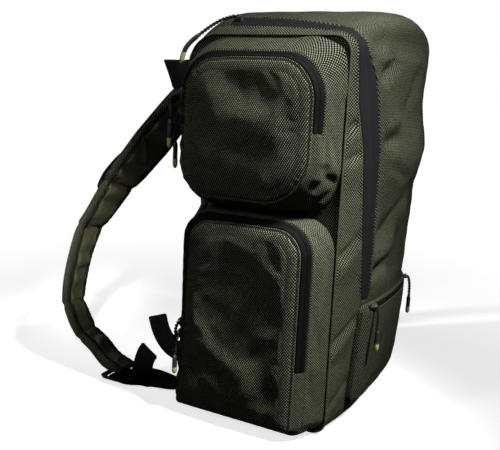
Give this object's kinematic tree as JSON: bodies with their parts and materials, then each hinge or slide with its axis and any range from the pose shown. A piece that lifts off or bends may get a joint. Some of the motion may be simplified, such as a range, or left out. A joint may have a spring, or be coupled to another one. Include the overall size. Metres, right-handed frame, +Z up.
{
  "type": "bait boat rucksack",
  "caption": "Tall soft rucksack for carrying a bait boat, with stacked zipped side pockets, a zipped front pocket, a wide main zip, padded shoulder straps and a haul handle.",
  "frame": {"origin": "middle of the flat base", "axes": "+Z up the bag, +Y towards the wearer, the pocketed side panel at -X"},
  "size_m": [0.4316, 0.5709, 0.6385],
  "materials": {
    "cloth": "coated basket-weave nylon",
    "piping": "cloth-covered cord",
    "zip_tape": "woven tape with a moulded coil",
    "slider": "black satin",
    "pull": "cord with a moulded grip",
    "strap": "padded, smooth lining",
    "webbing": "woven webbing",
    "lock": "moulded, glossy"
  },
  "bodies": {
    "root": {"main_shell": "cloth", "side_panel": "cloth", "side_piping": "piping", "main_zip": "zip_tape", "main_zip_slider": "slider", "main_zip_pull": "pull", "upper_pocket": "cloth", "upper_zip": "zip_tape", "upper_zip_slider_a": "slider", "upper_zip_pull_a": "pull", "upper_zip_slider_b": "slider", "upper_zip_pull_b": "pull", "lower_pocket": "cloth", "lower_zip": "zip_tape", "lower_zip_slider_a": "slider", "lower_zip_slider_b": "slider", "lower_zip_pull_a": "pull", "lower_zip_pull_b": "pull", "front_pocket": "cloth", "front_zip": "zip_tape", "front_zip_slider_a": "slider", "front_zip_slider_b": "slider", "front_zip_pull_a": "pull", "front_zip_pull_b": "pull", "strap_left": "strap", "strap_right": "strap", "strap_keeper_left": "webbing", "strap_keeper_right": "webbing", "ladder_lock_left": "lock", "ladder_lock_right": "lock", "lower_webbing_left": "webbing", "lower_webbing_right": "webbing", "waist_webbing_left": "webbing", "waist_webbing_right": "webbing", "haul_handle": "webbing"}
  },
  "joints": []
}
